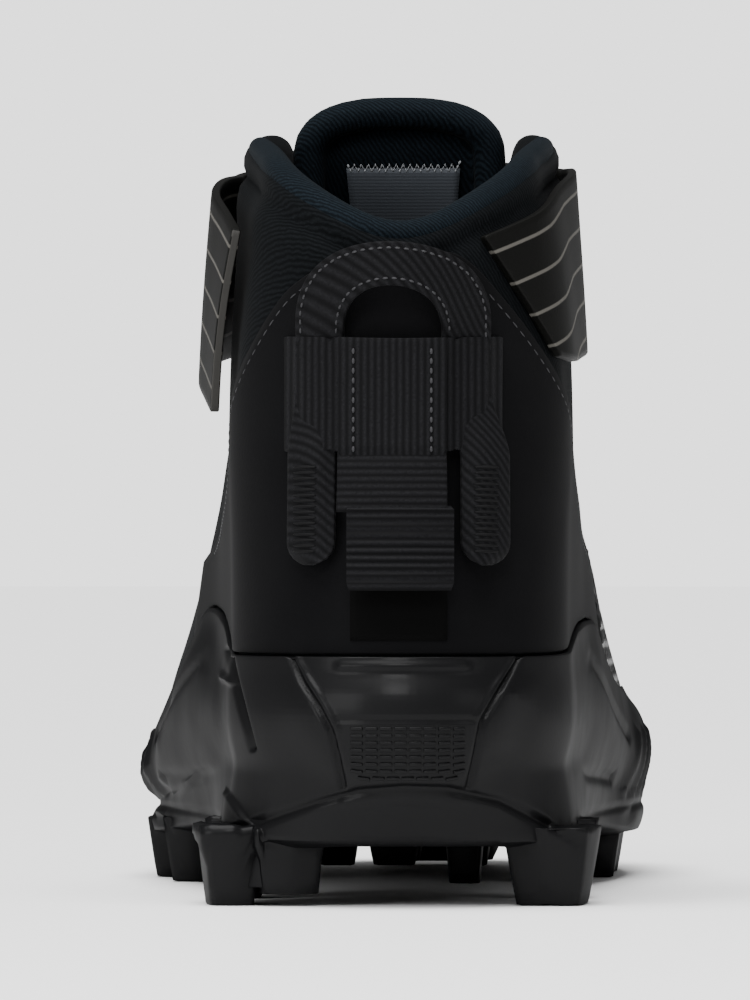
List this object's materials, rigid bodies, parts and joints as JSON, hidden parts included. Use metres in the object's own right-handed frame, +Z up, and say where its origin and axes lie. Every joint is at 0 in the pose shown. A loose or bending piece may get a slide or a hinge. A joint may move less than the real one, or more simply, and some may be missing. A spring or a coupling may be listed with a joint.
{
  "type": "american football cleat",
  "caption": "Left high-top american football cleat with a moulded rubber cup sole, ground lugs, padded collar, ankle strap and heel pull loop.",
  "frame": {"origin": "on the floor under the middle of the shoe's box", "axes": "+Y from heel to toe, +Z up, +X towards the big-toe side of the left foot"},
  "size_m": [0.1164, 0.3064, 0.1771],
  "materials": {
    "moulded_rubber": "satin moulded black rubber",
    "knit_upper": "black knit textile",
    "tongue_knit": "padded black knit lining",
    "insole_foam": "black fabric over foam",
    "synthetic_suede": "matte black synthetic nubuck",
    "net_skin": "glossy black moulded net film",
    "elastic_band": "black ribbed elastic",
    "webbing": "black woven webbing",
    "lace_cord": "black woven lace",
    "strap_synthetic": "smooth black synthetic with thin pale lines"
  },
  "bodies": {
    "root": {"outsole": "moulded_rubber", "upper": "knit_upper", "tongue": "tongue_knit", "insole": "insole_foam", "heel_quarter": "synthetic_suede", "side_skin": "net_skin", "toe_cap": "net_skin", "eyestay_lateral": "synthetic_suede", "eyestay_medial": "synthetic_suede", "heel_band": "elastic_band", "heel_tab": "webbing", "pull_loop": "webbing", "laces": "lace_cord", "ankle_strap": "strap_synthetic"}
  },
  "joints": []
}
